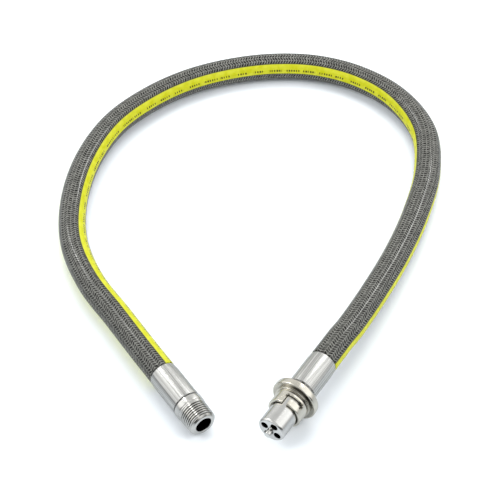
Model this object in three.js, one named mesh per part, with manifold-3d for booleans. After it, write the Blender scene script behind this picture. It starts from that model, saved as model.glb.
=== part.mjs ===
// Flexible gas hose with a taper-threaded end and a swivelling bayonet plug
import * as THREE from 'three';
import { mergeVertices } from 'three/addons/utils/BufferGeometryUtils.js';
import Module from 'manifold-3d';

const wasm = await Module();
wasm.setup();

// Sizes are in millimetres and angles in degrees

// Hose
const HOSE_DIAMETER = 20.8;
const HOSE_BORE = 12.6;
const HOSE_SIDES = 12;
const HOSE_STEPS = 40;
const GRIP_DEPTH = 27;
const GRIP_ROOT = 2;
const LEAD_STEP = 12;

// Route of the hose between its two straight ends, as points on its centre line
const ROUTE = [
  [-90, 76, 10.5],
  [-111.2, 108.8, 10.5],
  [-126.2, 147.5, 10.5],
  [-129.2, 191.5, 10.5],
  [-121, 236, 10.5],
  [-103, 274.5, 10.5],
  [-76, 303.5, 10.5],
  [-45, 324.5, 10.5],
  [-11, 337.5, 10.5],
  [24, 343.5, 10.5],
  [59, 341.5, 10.5],
  [92.5, 329, 10.5],
  [122.5, 304.5, 10.5],
  [141.8, 267, 10.5],
  [141.8, 220.8, 10.5],
  [130.2, 176.4, 10.5],
  [114.5, 136, 11.5],
  [96, 97.5, 13.6],
  [76.5, 61.5, 16],
];

// Mouth of the ferrule at each end, and the heading of the fitting there
const THREAD_END = { x: -56.4, y: 23.9, heading: -56.5 };
const PLUG_END = { x: 56.4, y: 29.6, heading: -122 };

// Ferrules
const FERRULE_LENGTH = 32.5;
const FERRULE_DIAMETER = 21.4;
const FERRULE_BORE = 18.4;
const FERRULE_LIP = 2.2;
const FERRULE_MOUTH_LAND = 0.3;
const FERRULE_SWAGE = 0.3;
const FERRULE_SWAGE_LENGTH = 5;
const FERRULE_ROUNDING = 1.5;
const FERRULE_EDGE = 0.6;

// Barbed tails inside the hose
const TAIL_BORE = 9.5;
const TAIL_START = 1.5;
const BARB_DIAMETER = 11.9;
const BARB_DEPTH = 0.45;
const BARB_PITCH = 4.6;
const BARB_COUNT = 5;
const NECK_DIAMETER = 13.8;

// Threaded nipple with a 14 turns per inch taper pipe thread
const COLLAR_LENGTH = 5.3;
const COLLAR_DIAMETER = 22.2;
const COLLAR_EDGE = 0.4;
const THREAD_LENGTH = 15.6;
const THREAD_GAUGE_DIAMETER = 20.955;
const THREAD_GAUGE_LENGTH = 8.2;
const THREAD_TAPER = 1 / 16;
const THREAD_PITCH = 1.814;
const THREAD_DEPTH = 1.1;
const THREAD_ROOT_FLAT = 0.3;
const THREAD_CREST_FLAT = 0.36;
const THREAD_CUT_RISE = 0.12;
const THREAD_START_TURN = 0.5;
const THREAD_RUNOUT_TURNS = 0.6;
const THREAD_SIDES = 24;
const TIP_DIAMETER = 16.7;
const TIP_CHAMFER = 1.9;
const NIPPLE_BORE = 12.2;
const NIPPLE_BORE_DEPTH = 18;
const NIPPLE_BORE_CONE = 3;

// Tail of the plug
const TAIL_COLLAR_LENGTH = 2.3;
const TAIL_COLLAR_DIAMETER = 20.8;
const SPIGOT_LENGTH = 9;
const SPIGOT_DIAMETER = 14;

// Seal ring in its groove on the spigot
const SEAL_THICKNESS = 1.1;
const SEAL_PLACE = 6.2;
const SEAL_CLEARANCE = 0.15;
const SEAL_SIDES = 8;

// Thrust washer of the swivel
const WASHER_THICKNESS = 0.9;
const WASHER_DIAMETER = 22.6;

// Nose barrel with its four gas ports
const NOSE_DIAMETER = 20.3;
const NOSE_REACH = 17;
const NOSE_CHAMFER = 0.9;
const NOSE_CHAMFER_LENGTH = 1.1;
const NOSE_WALL = 3.4;
const JOURNAL_DIAMETER = 17.2;
const PORT_DIAMETER = 5.5;
const PORT_CIRCLE = 11.2;
const PORT_COUNT = 4;
const PORT_TURN = 26;
const PORT_SIDES = 20;
const PORT_RUN_IN = 2.2;

// Valve pin in the middle of the nose face
const PIN_DIAMETER = 4.8;
const PIN_LENGTH = 5;
const PIN_CHAMFER = 0.5;

// Bayonet sleeve with its flange and J-shaped slots
const SLEEVE_DIAMETER = 25.2;
const SLEEVE_WALL = 1.6;
const SLEEVE_REACH = 12.9;
const SLEEVE_EDGE = 0.5;
const LIP_THICKNESS = 2.4;
const COUNTERBORE_DIAMETER = 23.4;
const COUNTERBORE_DEPTH = 2;
const FLANGE_DIAMETER = 34.2;
const FLANGE_THICKNESS = 5.7;
const FLANGE_ROUNDING = 1.6;
const FLANGE_FRONT_ROUNDING = 0.8;
const ROOT_STEP_DIAMETER = 27.4;
const ROOT_STEP_LENGTH = 1.9;
const RECESS_DIAMETER = 31;
const RECESS_DEPTH = 0.5;
const SLOT_COUNT = 2;
const SLOT_MOUTH_WIDTH = 4;
const SLOT_LEG_WIDTH = 3.2;
const SLOT_DEPTH = 8.2;
const SLOT_START = -1;
const SLOT_TURN = 53.5;
const SLOT_DETENT = 1.3;
const SLOT_CORNER = 0.9;
const SLOT_STEP = 1.3;
const SLOT_CUT_RISE = 5;

// Clearances
const SEAT_GAP = 0.3;
const CUT_MARGIN = 1;

// Facets of turned pieces
const TURNED_SIDES = 36;
const CURVE_STEPS = 3;

// Places along the axis of each fitting, from the mouth of its ferrule
const collarBack = FERRULE_LENGTH + SEAT_GAP;
const neckStart = GRIP_DEPTH + SEAT_GAP;
const threadStart = collarBack + COLLAR_LENGTH;
const threadTip = threadStart + THREAD_LENGTH;
const tailCollarFront = collarBack + TAIL_COLLAR_LENGTH;
const spigotTip = tailCollarFront + SPIGOT_LENGTH;
const barrelBack = tailCollarFront + SEAT_GAP;
const lipBack = barrelBack + WASHER_THICKNESS + SEAT_GAP;
const lipFront = lipBack + LIP_THICKNESS;
const shoulder = lipFront + SEAT_GAP;
const flangeBack = lipBack - COUNTERBORE_DEPTH;
const flangeFront = flangeBack + FLANGE_THICKNESS;
const sleeveFront = flangeFront + SLEEVE_REACH;
const noseFace = sleeveFront + NOSE_REACH;
const chamberFront = noseFace - NOSE_WALL;
const pinTip = noseFace + PIN_LENGTH;

// Closed solid from a geometry, facing outwards whichever way its outline ran
function solidOf(geometry) {
  const bare = geometry.clone();
  bare.deleteAttribute('normal');
  bare.deleteAttribute('uv');
  const merged = mergeVertices(bare, 1e-4);
  const position = merged.getAttribute('position');
  const corners = [0, 1, 2].map(() => new THREE.Vector3());
  const faces = [];
  let volume = 0;
  for (let i = 0; i < merged.index.count; i += 3) {
    const face = [0, 1, 2].map((k) => merged.index.getX(i + k));
    if (new Set(face).size === 3) {
      face.forEach((vertex, k) => corners[k].fromBufferAttribute(position, vertex));
      volume += corners[0].dot(corners[1].cross(corners[2]));
      faces.push(face);
    }
  }
  const outward = volume > 0 ? faces : faces.map(([a, b, c]) => [a, c, b]);
  const vertProperties = Float32Array.from(position.array);
  const triVerts = Uint32Array.from(outward.flat());
  return new wasm.Manifold(new wasm.Mesh({ numProp: 3, vertProperties, triVerts }));
}

// Geometry of a finished solid
function geometryOf(solid) {
  const mesh = solid.getMesh();
  const geometry = new THREE.BufferGeometry();
  geometry.setAttribute('position', new THREE.BufferAttribute(mesh.vertProperties, 3));
  geometry.setIndex(new THREE.BufferAttribute(mesh.triVerts, 1));
  geometry.computeVertexNormals();
  return geometry;
}

// Turned geometry about the X axis from a closed outline of (along, radius)
function turned(outline, sides = TURNED_SIDES) {
  outline.closePath();
  const points = outline.getPoints(CURVE_STEPS).map((p) => new THREE.Vector2(p.y, p.x));
  const geometry = new THREE.LatheGeometry(points, sides);
  geometry.rotateZ(-Math.PI / 2);
  return geometry;
}

// Corners of a regular polygon in the XY plane
function polygon(diameter, sides) {
  return Array.from({ length: sides }, (_, i) => {
    const angle = (2 * Math.PI * i) / sides;
    return new THREE.Vector2(Math.cos(angle), Math.sin(angle)).multiplyScalar(diameter / 2);
  });
}

// Outline points with long edges cut into short steps
function subdivided(points, longest) {
  return points.flatMap((point, i) => {
    const next = points[(i + 1) % points.length];
    const steps = Math.max(1, Math.ceil(point.distanceTo(next) / longest));
    return Array.from({ length: steps }, (_, k) => point.clone().lerp(next, k / steps));
  });
}

// Every vertex of a geometry moved by one rule
function reshaped(geometry, rule) {
  const position = geometry.getAttribute('position');
  for (let i = 0; i < position.count; i += 1) {
    position.setXYZ(i, ...rule(position.getX(i), position.getY(i), position.getZ(i)));
  }
  return geometry;
}

// Group that carries one fitting, with X along its axis towards its tip
function fittingGroup(end, radius) {
  const group = new THREE.Group();
  group.position.set(end.x, end.y, radius);
  group.rotation.z = THREE.MathUtils.degToRad(end.heading);
  group.updateMatrixWorld(true);
  return group;
}

const threadGroup = fittingGroup(THREAD_END, Math.max(COLLAR_DIAMETER, FERRULE_DIAMETER) / 2);
const plugGroup = fittingGroup(PLUG_END, FLANGE_DIAMETER / 2);

// Straight lead of the hose out of a ferrule, from its mouth backwards
function lead(group) {
  return [SEAT_GAP, LEAD_STEP, 2 * LEAD_STEP].map((back) => (
    new THREE.Vector3(-back, 0, 0).applyMatrix4(group.matrixWorld)
  ));
}

// Hose between the two ferrules
function hoseTube() {
  const section = new THREE.Shape(polygon(HOSE_DIAMETER, HOSE_SIDES));
  section.holes.push(new THREE.Path(polygon(HOSE_BORE, HOSE_SIDES)));
  const middle = ROUTE.map((point) => new THREE.Vector3(...point));
  const points = [...lead(threadGroup), ...middle, ...lead(plugGroup).reverse()];
  const curve = new THREE.CatmullRomCurve3(points, false, 'centripetal');
  return new THREE.ExtrudeGeometry(section, { steps: HOSE_STEPS, extrudePath: curve });
}

// End of the hose squeezed between the tail and the ferrule
function grippedEnd(group) {
  const outline = new THREE.Path();
  const outer = FERRULE_BORE / 2 - SEAT_GAP;
  outline.moveTo(-GRIP_ROOT, HOSE_BORE / 2);
  outline.lineTo(-GRIP_ROOT, outer);
  outline.lineTo(GRIP_DEPTH, outer);
  outline.lineTo(GRIP_DEPTH, HOSE_BORE / 2);
  return turned(outline, 2 * HOSE_SIDES).applyMatrix4(group.matrixWorld);
}

function hose() {
  const ends = [threadGroup, plugGroup].map((group) => solidOf(grippedEnd(group)));
  return geometryOf(ends.reduce((solid, end) => solid.add(end), solidOf(hoseTube())));
}

// Ferrule with a rolled-in mouth and a lip that grips the neck of the tail
function ferrule() {
  const front = FERRULE_DIAMETER / 2;
  const rear = front - FERRULE_SWAGE;
  const bore = FERRULE_BORE / 2;
  const lip = NECK_DIAMETER / 2 + SEAT_GAP;
  const outline = new THREE.Path();
  outline.moveTo(0, bore);
  outline.lineTo(0, bore + FERRULE_MOUTH_LAND);
  outline.quadraticCurveTo(0, rear, FERRULE_ROUNDING, rear);
  outline.lineTo(FERRULE_SWAGE_LENGTH, front);
  outline.lineTo(FERRULE_LENGTH - FERRULE_EDGE, front);
  outline.lineTo(FERRULE_LENGTH, front - FERRULE_EDGE);
  outline.lineTo(FERRULE_LENGTH, lip);
  outline.lineTo(FERRULE_LENGTH - FERRULE_LIP, lip);
  outline.lineTo(FERRULE_LENGTH - FERRULE_LIP, bore);
  return geometryOf(solidOf(turned(outline)));
}

// Outside of a barbed tail, drawn from its open end to the collar
function drawTail(outline) {
  const crest = BARB_DIAMETER / 2;
  const root = crest - BARB_DEPTH;
  const neck = NECK_DIAMETER / 2;
  outline.moveTo(TAIL_START, TAIL_BORE / 2);
  outline.lineTo(TAIL_START, root);
  for (let i = 1; i <= BARB_COUNT; i += 1) {
    outline.lineTo(TAIL_START + i * BARB_PITCH, crest);
    outline.lineTo(TAIL_START + i * BARB_PITCH, root);
  }
  outline.lineTo(neckStart, root);
  outline.lineTo(neckStart, neck);
  outline.lineTo(collarBack, neck);
}

// Radius over the thread crests at a place along the nipple
function threadRadius(along) {
  const gauge = threadTip - THREAD_GAUGE_LENGTH;
  return (THREAD_GAUGE_DIAMETER + (gauge - along) * THREAD_TAPER) / 2;
}

// Groove of the thread: a straight V bar wound round the cone, lifting out at the collar
function threadGroove() {
  const flank = (THREAD_PITCH - THREAD_ROOT_FLAT - THREAD_CREST_FLAT) / 2;
  const spread = flank * (1 + THREAD_CUT_RISE / THREAD_DEPTH);
  const section = new THREE.Shape();
  section.moveTo(-THREAD_ROOT_FLAT / 2, -THREAD_DEPTH);
  section.lineTo(THREAD_ROOT_FLAT / 2, -THREAD_DEPTH);
  section.lineTo(THREAD_ROOT_FLAT / 2 + spread, THREAD_CUT_RISE);
  section.lineTo(-THREAD_ROOT_FLAT / 2 - spread, THREAD_CUT_RISE);
  const turns = THREAD_LENGTH / THREAD_PITCH;
  const steps = Math.round(turns * THREAD_SIDES);
  const bar = new THREE.ExtrudeGeometry(section, { steps, depth: steps, bevelEnabled: false });
  const runout = THREAD_RUNOUT_TURNS * THREAD_SIDES;
  return reshaped(bar, (x, y, z) => {
    const angle = (2 * Math.PI * z) / THREAD_SIDES;
    const along = threadStart + THREAD_PITCH * (THREAD_START_TURN + z / THREAD_SIDES) + x;
    const lift = Math.max(0, 1 - z / runout) * (THREAD_DEPTH + THREAD_CUT_RISE);
    const radius = threadRadius(along) + y + lift;
    return [along, radius * Math.cos(angle), radius * Math.sin(angle)];
  });
}

// Nipple with its barbed tail, collar and taper thread
function nipple() {
  const collar = COLLAR_DIAMETER / 2;
  const bore = NIPPLE_BORE / 2;
  const outline = new THREE.Path();
  drawTail(outline);
  outline.lineTo(collarBack, collar);
  outline.lineTo(threadStart - COLLAR_EDGE, collar);
  outline.lineTo(threadStart, threadRadius(threadStart));
  outline.lineTo(threadTip - TIP_CHAMFER, threadRadius(threadTip - TIP_CHAMFER));
  outline.lineTo(threadTip, TIP_DIAMETER / 2);
  outline.lineTo(threadTip, bore);
  outline.lineTo(threadTip - NIPPLE_BORE_DEPTH, bore);
  outline.lineTo(threadTip - NIPPLE_BORE_DEPTH - NIPPLE_BORE_CONE, TAIL_BORE / 2);
  const blank = solidOf(turned(outline, THREAD_SIDES));
  return geometryOf(blank.subtract(solidOf(threadGroove())));
}

// Tail of the plug, with the collar that traps the sleeve and a spigot into the barrel
function plugTail() {
  const collar = TAIL_COLLAR_DIAMETER / 2;
  const spigot = SPIGOT_DIAMETER / 2;
  const grooveFloor = spigot - SEAL_THICKNESS;
  const grooveBack = tailCollarFront + SEAL_PLACE;
  const grooveFront = grooveBack + SEAL_THICKNESS + 2 * SEAL_CLEARANCE;
  const outline = new THREE.Path();
  drawTail(outline);
  outline.lineTo(collarBack, collar);
  outline.lineTo(tailCollarFront, collar);
  outline.lineTo(tailCollarFront, spigot);
  outline.lineTo(grooveBack, spigot);
  outline.lineTo(grooveBack, grooveFloor);
  outline.lineTo(grooveFront, grooveFloor);
  outline.lineTo(grooveFront, spigot);
  outline.lineTo(spigotTip, spigot);
  outline.lineTo(spigotTip, TAIL_BORE / 2);
  return geometryOf(solidOf(turned(outline)));
}

// Seal ring in the groove of the spigot
function sealRing() {
  const radius = SEAL_THICKNESS / 2;
  const centre = SPIGOT_DIAMETER / 2 - radius + SEAL_CLEARANCE;
  const along = tailCollarFront + SEAL_PLACE + SEAL_CLEARANCE + radius;
  const ring = new THREE.TorusGeometry(centre, radius, SEAL_SIDES, TURNED_SIDES);
  ring.rotateY(Math.PI / 2);
  ring.translate(along, 0, 0);
  return geometryOf(solidOf(ring));
}

// Thrust washer behind the lip of the sleeve
function swivelWasher() {
  const inner = JOURNAL_DIAMETER / 2 + SEAT_GAP;
  const outline = new THREE.Path();
  outline.moveTo(barrelBack, inner);
  outline.lineTo(barrelBack, WASHER_DIAMETER / 2);
  outline.lineTo(barrelBack + WASHER_THICKNESS, WASHER_DIAMETER / 2);
  outline.lineTo(barrelBack + WASHER_THICKNESS, inner);
  return geometryOf(solidOf(turned(outline)));
}

// Drill for one gas port
function portDrill(index) {
  const depth = NOSE_WALL + PORT_RUN_IN + CUT_MARGIN;
  const angle = (2 * Math.PI * index) / PORT_COUNT + THREE.MathUtils.degToRad(PORT_TURN);
  const drill = new THREE.CylinderGeometry(PORT_DIAMETER / 2, PORT_DIAMETER / 2, depth, PORT_SIDES);
  drill.rotateZ(Math.PI / 2);
  drill.translate(
    noseFace + CUT_MARGIN - depth / 2,
    (PORT_CIRCLE / 2) * Math.sin(angle),
    (PORT_CIRCLE / 2) * Math.cos(angle),
  );
  return drill;
}

// Nose barrel: journal for the sleeve, smooth nose, valve pin and four ports through its end wall
function noseBarrel() {
  const journal = JOURNAL_DIAMETER / 2;
  const nose = NOSE_DIAMETER / 2;
  const pin = PIN_DIAMETER / 2;
  const chamber = SPIGOT_DIAMETER / 2 + SEAT_GAP;
  const outline = new THREE.Path();
  outline.moveTo(barrelBack, chamber);
  outline.lineTo(barrelBack, journal);
  outline.lineTo(shoulder, journal);
  outline.lineTo(shoulder, nose);
  outline.lineTo(noseFace - NOSE_CHAMFER_LENGTH, nose);
  outline.lineTo(noseFace, nose - NOSE_CHAMFER);
  outline.lineTo(noseFace, pin);
  outline.lineTo(pinTip - PIN_CHAMFER, pin);
  outline.lineTo(pinTip, pin - PIN_CHAMFER);
  outline.lineTo(pinTip, 0);
  outline.lineTo(chamberFront, 0);
  outline.lineTo(chamberFront, chamber);
  const drills = Array.from({ length: PORT_COUNT }, (_, i) => solidOf(portDrill(i)));
  return geometryOf(drills.reduce((solid, drill) => solid.subtract(drill), solidOf(turned(outline))));
}

// J-shaped slot laid flat, with x along the plug and y round the sleeve
function slotShape() {
  const half = SLOT_MOUTH_WIDTH / 2;
  const mouth = sleeveFront + CUT_MARGIN;
  const back = sleeveFront - SLOT_DEPTH;
  const front = back + SLOT_LEG_WIDTH;
  const seat = front + SLOT_DETENT;
  const turn = (SLEEVE_DIAMETER / 2) * THREE.MathUtils.degToRad(SLOT_TURN);
  const near = turn - SLOT_LEG_WIDTH / 2;
  const far = turn + SLOT_LEG_WIDTH / 2;
  const shape = new THREE.Shape();
  shape.moveTo(mouth, -half);
  shape.lineTo(back + SLOT_CORNER, -half);
  shape.quadraticCurveTo(back, -half, back, -half + SLOT_CORNER);
  shape.lineTo(back, far - SLOT_CORNER);
  shape.quadraticCurveTo(back, far, back + SLOT_CORNER, far);
  shape.lineTo(seat - SLOT_CORNER, far);
  shape.quadraticCurveTo(seat, far, seat, far - SLOT_CORNER);
  shape.lineTo(seat, near + SLOT_CORNER);
  shape.quadraticCurveTo(seat, near, seat - SLOT_CORNER, near);
  shape.lineTo(front, near);
  shape.lineTo(front, half);
  shape.lineTo(mouth, half);
  return new THREE.Shape(subdivided(shape.getPoints(CURVE_STEPS), SLOT_STEP));
}

// Cutter of one slot: the flat slot made thick and bent round the sleeve
function slotCutter(index) {
  const outer = SLEEVE_DIAMETER / 2;
  const inner = outer - SLEEVE_WALL - SEAT_GAP;
  const start = THREE.MathUtils.degToRad(SLOT_START) + (2 * Math.PI * index) / SLOT_COUNT;
  const depth = SLEEVE_WALL + SEAT_GAP + SLOT_CUT_RISE;
  const block = new THREE.ExtrudeGeometry(slotShape(), { depth, bevelEnabled: false });
  return reshaped(block, (x, y, z) => {
    const angle = start + y / outer;
    return [x, (inner + z) * Math.sin(angle), (inner + z) * Math.cos(angle)];
  });
}

// Bayonet sleeve and flange, turned in one piece, with its slots cut through
function bayonetSleeve() {
  const flange = FLANGE_DIAMETER / 2;
  const outer = SLEEVE_DIAMETER / 2;
  const inner = outer - SLEEVE_WALL;
  const counterbore = COUNTERBORE_DIAMETER / 2;
  const lip = JOURNAL_DIAMETER / 2 + SEAT_GAP;
  const step = ROOT_STEP_DIAMETER / 2;
  const recess = RECESS_DIAMETER / 2;
  const outline = new THREE.Path();
  outline.moveTo(flangeBack, counterbore);
  outline.lineTo(flangeBack, flange - FLANGE_ROUNDING);
  outline.quadraticCurveTo(flangeBack, flange, flangeBack + FLANGE_ROUNDING, flange);
  outline.lineTo(flangeFront - FLANGE_FRONT_ROUNDING, flange);
  outline.quadraticCurveTo(flangeFront, flange, flangeFront, flange - FLANGE_FRONT_ROUNDING);
  outline.lineTo(flangeFront, recess + RECESS_DEPTH);
  outline.lineTo(flangeFront - RECESS_DEPTH, recess);
  outline.lineTo(flangeFront - RECESS_DEPTH, step);
  outline.lineTo(flangeFront + ROOT_STEP_LENGTH, step);
  outline.lineTo(flangeFront + ROOT_STEP_LENGTH, outer);
  outline.lineTo(sleeveFront - SLEEVE_EDGE, outer);
  outline.quadraticCurveTo(sleeveFront, outer, sleeveFront, outer - SLEEVE_EDGE);
  outline.lineTo(sleeveFront, inner);
  outline.lineTo(lipFront, inner);
  outline.lineTo(lipFront, lip);
  outline.lineTo(lipBack, lip);
  outline.lineTo(lipBack, counterbore);
  const cutters = Array.from({ length: SLOT_COUNT }, (_, i) => solidOf(slotCutter(i)));
  return geometryOf(cutters.reduce((solid, cutter) => solid.subtract(cutter), solidOf(turned(outline))));
}

// Finishes
const BRAIDED_HOSE = { color: 0x5f5d57, roughness: 0.45, metalness: 0 };
const BRIGHT_STEEL = { color: 0xcfcfcb, roughness: 0.25, metalness: 1 };
const CREAM_NICKEL = { color: 0xddd8c6, roughness: 0.28, metalness: 1 };
const BLACK_RUBBER = { color: 0x1d1d1d, roughness: 0.7, metalness: 0 };
const WHITE_PLASTIC = { color: 0xe8e6df, roughness: 0.5, metalness: 0 };

// Named piece with its own material
function piece(name, geometry, finish) {
  const mesh = new THREE.Mesh(geometry, new THREE.MeshStandardMaterial(finish));
  mesh.name = name;
  return mesh;
}

threadGroup.add(
  piece('thread_ferrule', ferrule(), BRIGHT_STEEL),
  piece('thread_nipple', nipple(), BRIGHT_STEEL),
);

plugGroup.add(
  piece('bayonet_ferrule', ferrule(), BRIGHT_STEEL),
  piece('plug_tail', plugTail(), BRIGHT_STEEL),
  piece('barrel_seal_ring', sealRing(), BLACK_RUBBER),
  piece('swivel_washer', swivelWasher(), WHITE_PLASTIC),
  piece('nose_barrel', noseBarrel(), BRIGHT_STEEL),
  piece('bayonet_sleeve', bayonetSleeve(), CREAM_NICKEL),
);

const gasHose = new THREE.Group();
gasHose.add(piece('hose', hose(), BRAIDED_HOSE), threadGroup, plugGroup);

export default gasHose;
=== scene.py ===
import math

import bpy
from bpy.props import FloatProperty, FloatVectorProperty, IntProperty, PointerProperty
from mathutils import Matrix, Vector


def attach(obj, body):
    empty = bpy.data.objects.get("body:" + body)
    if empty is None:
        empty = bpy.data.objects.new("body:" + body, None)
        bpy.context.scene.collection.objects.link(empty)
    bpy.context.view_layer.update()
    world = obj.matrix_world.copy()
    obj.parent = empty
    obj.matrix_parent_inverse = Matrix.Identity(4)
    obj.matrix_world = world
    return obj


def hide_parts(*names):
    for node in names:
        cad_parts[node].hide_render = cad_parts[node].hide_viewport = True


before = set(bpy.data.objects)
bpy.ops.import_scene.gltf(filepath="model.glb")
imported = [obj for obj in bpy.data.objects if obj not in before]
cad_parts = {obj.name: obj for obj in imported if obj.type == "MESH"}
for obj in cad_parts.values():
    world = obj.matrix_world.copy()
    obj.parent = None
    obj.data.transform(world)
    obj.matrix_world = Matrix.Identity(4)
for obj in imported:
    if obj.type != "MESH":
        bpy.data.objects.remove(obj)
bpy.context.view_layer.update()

bl_info = {
    "name": "Flexible Gas Hose",
    "version": (1, 0, 0),
    "blender": (4, 5, 0),
    "location": "View3D > Sidebar > Gas Hose",
    "description": "Dresses the packed gas hose with its cover, its fittings and a plain studio",
    "category": "Object",
}

# Mouth of the ferrule at each end and the heading of the fitting there
THREAD_END = Matrix.Translation((-0.0564, 0.0239, 0.0111)) @ Matrix.Rotation(math.radians(-56.5), 4, "Z")
PLUG_END = Matrix.Translation((0.0564, 0.0296, 0.0171)) @ Matrix.Rotation(math.radians(-122), 4, "Z")

# Route of the hose between its two straight ends
ROUTE = (
    (-0.09, 0.076, 0.0105),
    (-0.1112, 0.1088, 0.0105),
    (-0.1262, 0.1475, 0.0105),
    (-0.1292, 0.1915, 0.0105),
    (-0.121, 0.236, 0.0105),
    (-0.103, 0.2745, 0.0105),
    (-0.076, 0.3035, 0.0105),
    (-0.045, 0.3245, 0.0105),
    (-0.011, 0.3375, 0.0105),
    (0.024, 0.3435, 0.0105),
    (0.059, 0.3415, 0.0105),
    (0.0925, 0.329, 0.0105),
    (0.1225, 0.3045, 0.0105),
    (0.1418, 0.267, 0.0105),
    (0.1418, 0.2208, 0.0105),
    (0.1302, 0.1764, 0.0105),
    (0.1145, 0.136, 0.0115),
    (0.096, 0.0975, 0.0136),
    (0.0765, 0.0615, 0.016),
)
LEADS = (0.0003, 0.012, 0.024)

# Twist of the hose: distance along it, and angle of the inner stripe's upper edge from the top
TWIST = ((0, 18), (0.11, 21), (0.21, 39), (0.5, 39), (0.61, 58), (0.68, 66), (0.84, 66))

# Strip lights of the studio: one end's direction and level, the other end's, and half width
SOFT_BOXES = (
    ((-0.463, 0.380, 0.801), 7.0, (-0.526, 0.508, 0.682), 15.0, 0.075),
    ((-0.526, 0.508, 0.682), 15.0, (-0.560, 0.585, 0.587), 7.0, 0.075),
    ((0.463, 0.450, 0.763), 7.0, (0.428, 0.635, 0.643), 15.0, 0.07),
    ((-0.429, 0.311, 0.848), 1.25, (-0.560, 0.585, 0.587), 1.25, 0.34),
    ((0.468, 0.421, 0.777), 1.25, (0.428, 0.635, 0.643), 1.25, 0.32),
)

# Point of the floor under the middle of the hose's loop
FLOOR_CENTRE = (0, 0.17)

# Taper of the pipe thread on its diameter, and gas ports in the nose
THREAD_TAPER = 1 / 16
PORT_COUNT = 4

# Steps of a turned piece, distance at which vertices merge, and rings of the cover for each of the bore
TURNED_STEPS = 96
MERGE_DISTANCE = 1e-7
BORE_THINNING = 6

# Colour of metal in deep shade
DEEP_SHADE = (0.02, 0.02, 0.018)


def length(name, description, default):
    """A size in metres that a user may change"""
    return FloatProperty(
        name=name, description=description, default=default, min=0, unit="LENGTH", precision=5
    )


def share(name, description, default):
    """A number between none and all"""
    return FloatProperty(
        name=name, description=description, default=default, min=0, max=1, subtype="FACTOR"
    )


def colour(name, description, default):
    """A colour that a user may change"""
    return FloatVectorProperty(
        name=name, description=description, default=default, min=0, max=1, subtype="COLOR"
    )


def angle(name, description, default):
    """An angle, with its default in degrees"""
    return FloatProperty(
        name=name, description=description, default=math.radians(default), subtype="ANGLE"
    )


def power(name, description, default):
    """Power of a lamp"""
    return FloatProperty(name=name, description=description, default=default, min=0, unit="POWER")


class HoseSettings(bpy.types.PropertyGroup):
    diameter: length("Diameter", "Outside of the cover", 0.0208)
    bore: length("Bore", "Inside of the hose", 0.0126)
    neck: length("Neck", "Outside of the hose where a ferrule grips it", 0.0178)
    grip: length("Grip", "Length held inside each ferrule", 0.027)
    ring_gap: length("Ring gap", "Distance between rings of the mesh", 0.0012)
    sides: IntProperty(name="Sides", description="Faces round the hose", default=64, min=12, max=128)
    columns: IntProperty(
        name="Columns", description="Columns of stitches round the hose", default=22, min=4, max=64
    )
    stitch: length("Stitch", "Length of one stitch along the hose", 0.0022)
    thread_colour: colour("Thread", "Bright side of the knitted threads", (0.38, 0.375, 0.335))
    gap_colour: colour("Gap", "Dark gaps between the threads", (0.0015, 0.0014, 0.0012))
    stripe_colour: colour("Stripe", "The two yellow stripes", (0.5, 0.5, 0.01))
    print_colour: colour("Print", "Dashes on the stripe", (0.03, 0.028, 0.012))
    stripe_share: share("Stripe share", "Share of the way round that one stripe takes", 0.125)


class FerruleSettings(bpy.types.PropertyGroup):
    length: length("Length", "From mouth to front", 0.0325)
    diameter: length("Diameter", "Outside", 0.0214)
    bore: length("Bore", "Inside, over the hose", 0.0184)
    lip: length("Lip", "Thickness of the front lip", 0.0022)
    lip_bore: length("Lip bore", "Inside of the front lip", 0.0144)
    swage: length("Swage", "How far the mouth is pressed in", 0.0003)
    swage_length: length("Swage length", "Length of the pressed-in mouth", 0.005)
    metal: colour("Metal", "Bright steel", (0.92, 0.92, 0.895))


class NippleSettings(bpy.types.PropertyGroup):
    back: length("Back", "Back of the collar from the mouth of the ferrule", 0.0328)
    collar_length: length("Collar length", "Length of the plain collar", 0.0053)
    collar_diameter: length("Collar diameter", "Outside of the plain collar", 0.0222)
    thread_length: length("Thread length", "From collar to tip", 0.0156)
    gauge_diameter: length("Gauge diameter", "Thread diameter at the gauge plane", 0.020955)
    gauge_length: length("Gauge length", "From the tip to the gauge plane", 0.0082)
    pitch: length("Pitch", "Distance from turn to turn", 0.001814)
    depth: length("Depth", "Depth of the thread", 0.0011)
    tip_diameter: length("Tip diameter", "End of the tip chamfer", 0.0167)
    tip_chamfer: length("Tip chamfer", "Length of the tip chamfer", 0.0019)
    bore: length("Bore", "Bore at the tip", 0.0122)
    bore_depth: length("Bore depth", "Depth of the wide bore", 0.018)
    tail_bore: length("Tail bore", "Bore of the barbed tail", 0.0095)
    tail_diameter: length("Tail diameter", "Outside of the barbs", 0.0119)
    neck: length("Neck", "Outside between the barbs and the collar", 0.0138)
    metal: colour("Metal", "Bright turned steel", (0.80, 0.795, 0.77))


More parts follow.
